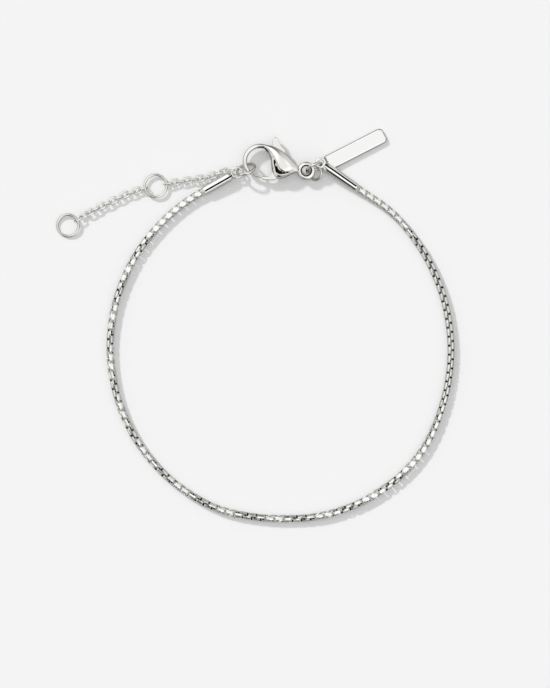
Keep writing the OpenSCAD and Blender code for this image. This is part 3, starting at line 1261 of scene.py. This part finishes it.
    def build(self, finish: Material, hollow_shade: Material) -> list[Piece]:
        """Make the body with its slot cut out, and the lever, each for its own solid.

        Args:
            finish: The clasp's material.
            hollow_shade: Near-black painted shade in the groove and on the eye's inner side.

        Returns:
            The shank, the eye and the lever.
        """
        shift = np.array(self.middle)
        still = np.eye(3)
        in_groove, in_eye = (3,), (1,)
        body = make_object("clasp_shank", self.shank().placed(still, shift), finish, Crisp.CAST,
                           hollow_shade=hollow_shade, shaded_groups=in_groove)
        cutter = make_object("slot_cutter", self.slot().placed(still, shift), finish)
        cut = body.modifiers.new("slot", "BOOLEAN")
        cut.object, cut.operation, cut.solver = cutter, "DIFFERENCE", "EXACT"
        graph = bpy.context.evaluated_depsgraph_get()
        shaped = bpy.data.meshes.new_from_object(body.evaluated_get(graph))
        body.modifiers.clear()
        body.data = shaped
        shaped.set_sharp_from_angle(angle=math.radians(Crisp.CAST.value))
        bpy.data.objects.remove(cutter)
        eye = make_object("clasp_eye", self.eyelet().placed(still, shift), finish, Crisp.CAST,
                          hollow_shade=hollow_shade, shaded_groups=in_eye)
        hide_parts("clasp_body")
        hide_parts("clasp_body")
        lever = make_object("lever_plate", self.lever().placed(still, shift), finish, Crisp.CAST)
        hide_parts("clasp_lever")
        return [body, eye, lever]


@dataclass
class Studio:
    """Pale floor, soft light from the upper left and the camera straight above.

    Attributes:
        floor_half: Half the floor's size, in metres.
        floor_grey: Brightness of the floor.
        mirrored_floor: Brightness of the floor that the metal mirrors.
        lens: Focal length, and the sensor's width in sensor.
        clip: Nearest and farthest distance seen, in metres.
        in_focus: Height at which the frame has the photograph's scale, in metres.
        key_azimuth: Direction of the key light in degrees, and its height in key_height.
        key_energy: Strength of the key light, and its spread in key_spread, in degrees.
        fill_energy: Strength of the light from overhead, and its spread in fill_spread.
        room: Brightness of the room between the panels.
        floor_share: Share of the room's brightness that the floor takes.
        panels: Azimuth and height of each panel in degrees, the cosines where it starts and is
            full, and its brightness.
    """

    floor_half: float = 0.6
    floor_grey: float = 0.8
    mirrored_floor: float = 0.38
    lens: float = 150.0
    sensor: float = 36.0
    clip: tuple[float, float] = (0.01, 10.0)
    in_focus: float = 0.0008
    key_azimuth: float = 135.0
    key_height: float = 34.0
    key_energy: float = 1.87
    key_spread: float = 5.0
    fill_energy: float = 0.63
    fill_spread: float = 8.0
    room: float = 0.025
    floor_share: float = 0.75
    panels: Table = (
        (0.0, 90.0, 0.72, 0.985, 0.93),
        (135.0, 34.0, 0.72, 0.97, 1.1),
        (-50.0, 40.0, 0.74, 0.97, 0.95),
        (32.0, 29.0, 0.64, 0.97, 0.72),
        (-161.0, 8.0, 0.7, 0.97, 0.85),
    )

    def floor(self) -> Piece:
        """A matt pale sheet under the bracelet, which the metal mirrors as a darker one.

        Returns:
            The sheet.
        """
        h = self.floor_half / MM
        corners = np.array([[-h, -h, 0.0], [h, -h, 0.0], [h, h, 0.0], [-h, h, 0.0]])
        material = bpy.data.materials.new("pale_floor")
        material.use_nodes = True
        tree = material.node_tree
        ray = tree.nodes.new("ShaderNodeLightPath")
        tint = add_node(tree, "ShaderNodeMix", {
            "Factor": ray.outputs["Is Glossy Ray"], "A": (self.floor_grey,) * 3 + (1.0,),
            "B": (self.mirrored_floor,) * 3 + (1.0,),
        }, data_type="RGBA")
        fill(tree, tree.nodes["Principled BSDF"], {
            "Base Color": tint.outputs["Result"], "Roughness": 1.0, "Specular IOR Level": 0.0,
        })
        sheet = make_object("studio_floor", Shell(corners, [np.array([[0, 1, 2, 3]])]), material,
                            loop_frame=False)
        return sheet

    def lights(self) -> None:
        """The key light from the upper left and the fill from overhead."""
        slope, side = math.radians(90 - self.key_height), math.radians(self.key_azimuth)
        for name, energy, spread, turn in (
            ("key", self.key_energy, self.key_spread, (0.0, slope, side)),
            ("fill", self.fill_energy, self.fill_spread, (0.0, 0.0, 0.0)),
        ):
            sun = bpy.data.lights.new(name, "SUN")
            sun.energy, sun.angle = energy, math.radians(spread)
            lamp = bpy.data.objects.new(name, sun)
            lamp.rotation_euler = turn
            lamp.visible_glossy = False
            bpy.context.collection.objects.link(lamp)

    def surround(self) -> None:
        """The room that the metal reflects.

        Its brightness is one value everywhere plus a soft disc for each panel, which goes by the
        cosine of the angle from the panel's middle. The floor takes only a share of it, so that the
        shadows stay as soft as the key light leaves them.
        """
        world = bpy.data.worlds.new("studio")
        bpy.context.scene.world = world
        world.use_nodes = True
        tree = world.node_tree
        where = tree.nodes.new("ShaderNodeTexCoord").outputs["Generated"]
        total: float | Socket = self.room
        for azimuth, height, low, high, gain in self.panels:
            a, e = math.radians(azimuth), math.radians(height)
            towards = (math.cos(a) * math.cos(e), math.sin(a) * math.cos(e), math.sin(e))
            dot = add_node(tree, "ShaderNodeVectorMath", {0: where, 1: towards},
                           operation="DOT_PRODUCT")
            lift = add_node(tree, "ShaderNodeMapRange", {
                "Value": dot.outputs["Value"], "From Min": low, "From Max": high, "To Max": gain,
            }, interpolation_type="SMOOTHSTEP")
            add = add_node(tree, "ShaderNodeMath", {0: lift.outputs["Result"], 1: total})
            total = add.outputs[0]
        ray = tree.nodes.new("ShaderNodeLightPath")
        share = add_node(tree, "ShaderNodeMapRange", {
            "Value": ray.outputs["Is Diffuse Ray"], "To Min": 1.0, "To Max": self.floor_share,
        })
        seen = add_node(tree, "ShaderNodeMath", {0: total, 1: share.outputs["Result"]},
                        operation="MULTIPLY")
        fill(tree, tree.nodes["Background"], {
            "Color": (1.0, 1.0, 1.0, 1.0), "Strength": seen.outputs[0],
        })

    def camera(self) -> None:
        """A long lens straight above the middle of the photograph's frame."""
        data = bpy.data.cameras.new("overhead")
        data.lens, data.sensor_width, data.sensor_fit = self.lens, self.sensor, "AUTO"
        data.clip_start, data.clip_end = self.clip
        lens = bpy.data.objects.new("overhead", data)
        tall = FRAME_PIXELS[1] * MM_PER_PIXEL * MM
        x = ((FRAME_PIXELS[0] / 2 - LOOP_PIXEL[0]) * MM_PER_PIXEL + LOOP_AT[0]) * MM
        y = ((LOOP_PIXEL[1] - FRAME_PIXELS[1] / 2) * MM_PER_PIXEL + LOOP_AT[1]) * MM
        lens.location = (x, y, tall * self.lens / self.sensor + self.in_focus)
        bpy.context.collection.objects.link(lens)
        bpy.context.scene.camera = lens
        bpy.context.scene.view_settings.view_transform = "Standard"
        bpy.context.scene.view_settings.look = "None"

    def build(self) -> None:
        """Set the floor, the lights, the room and the camera."""
        self.floor()
        self.lights()
        self.surround()
        self.camera()


def jump_rings() -> list[WireRing]:
    """The five wire rings with their places.

    Returns:
        The rings.
    """
    return [
        WireRing("ring_in_hook", "hook_ring", (-5.645, 27.885, 1.469), 1.463, 0.2, 21.0, -58.2),
        WireRing("ring_in_eye", "clasp_ring", (5.035, 28.19, 1.418), 1.257, 0.21, 27.8, 73.8),
        WireRing("ring_of_tag", "tag_ring", (5.112, 27.42, 0.6), 1.13, 0.19, 116.9, -20.9),
        WireRing("ring_middle", "extender_ring_middle", (-19.84, 25.3, 0.55), 1.74, 0.185,
                 0.0, 0.0),
        WireRing("ring_end", "extender_ring_end", (-33.63, 19.1, 0.37), 1.69, 0.185,
                 30.8, -6.0, "y"),
    ]


def oval_runs() -> list[OvalRun]:
    """The two lengths of the extender.

    Returns:
        The inner and the outer run.
    """
    inner = (
        (-7.86, 27.7, 1.12), (-8.5, 27.77, 0.98), (-9.2, 27.54, 0.68), (-10.95, 26.95, 0.56),
        (-12.72, 26.5, 0.56), (-14.79, 26.2, 0.56), (-16.75, 25.87, 0.56), (-18.13, 25.6, 0.56),
    )
    outer = (
        (-21.52, 24.95, 0.56), (-22.69, 24.62, 0.56), (-24.71, 23.9, 0.56), (-26.56, 23.0, 0.56),
        (-28.45, 22.11, 0.56), (-30.16, 21.2, 0.56), (-30.88, 20.83, 0.56), (-32.18, 19.95, 0.56),
    )
    return [
        OvalRun("extender_links_inner", "extender_chain_inner", inner,
                (-8, -25, -10, 0, 0, 0, 0, 0, 0, 0, 0)),
        OvalRun("extender_links_outer", "extender_chain_outer", outer,
                (0, 0, 0, 0, 0, 0, 0, 0, 0, 22, 45, 68)),
    ]


def end_caps(chain: BoxChain) -> list[RolledCap]:
    """The two rolled caps, whose mouths hold the chain's ends.

    Args:
        chain: The chain, for where its route ends.

    Returns:
        Left and right cap.
    """
    left, right = chain.at(np.array([chain.left_end + CAP_GRIP, chain.right_end - CAP_GRIP]))
    return [
        RolledCap("cap_left", "left_end_cap", (-7.1, 27.39, 1.12), tuple(left), start_gap=0.84,
                  radius_eye=0.7, radius_mouth=0.7, roll=-10.0, hole=0.68, eye_outer=0.94),
        RolledCap("cap_right", "right_end_cap", (6.04, 28.84, 1.75), tuple(right), start_gap=0.72,
                  radius_eye=0.76, radius_mouth=0.63, roll=-14.0, hole=0.5, eye_outer=0.82),
    ]


def main() -> None:
    """Build every piece, lay it on its body and set the studio."""
    logging.basicConfig(level=logging.INFO, format="%(name)s %(message)s")
    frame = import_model()
    finishes = build_finishes()
    chain = BoxChain()
    pieces = chain.build(finishes["chain"], finishes["hollow_shade"])
    pieces += [ring.build(finishes["wire"]) for ring in jump_rings()]
    pieces += [run.build(finishes["link"]) for run in oval_runs()]
    pieces += [cap.build(finishes["cap"], finishes["hollow_shade"]) for cap in end_caps(chain)]
    pieces.append(Tag().build(finishes["plate"]))
    *still, lever = Clasp().build(finishes["clasp"], finishes["groove"])
    for piece in pieces + still:
        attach(piece, BODY)
    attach(lever, LEVER)
    for piece in [*pieces, *still, lever]:
        LOG.info("%s: %d faces", piece.name, len(piece.data.polygons))
    for slot in frame["nodes"]["lever_pin"].material_slots:
        slot.material = finishes["pin"]
    Studio().build()


if __name__ == "__main__":
    main()
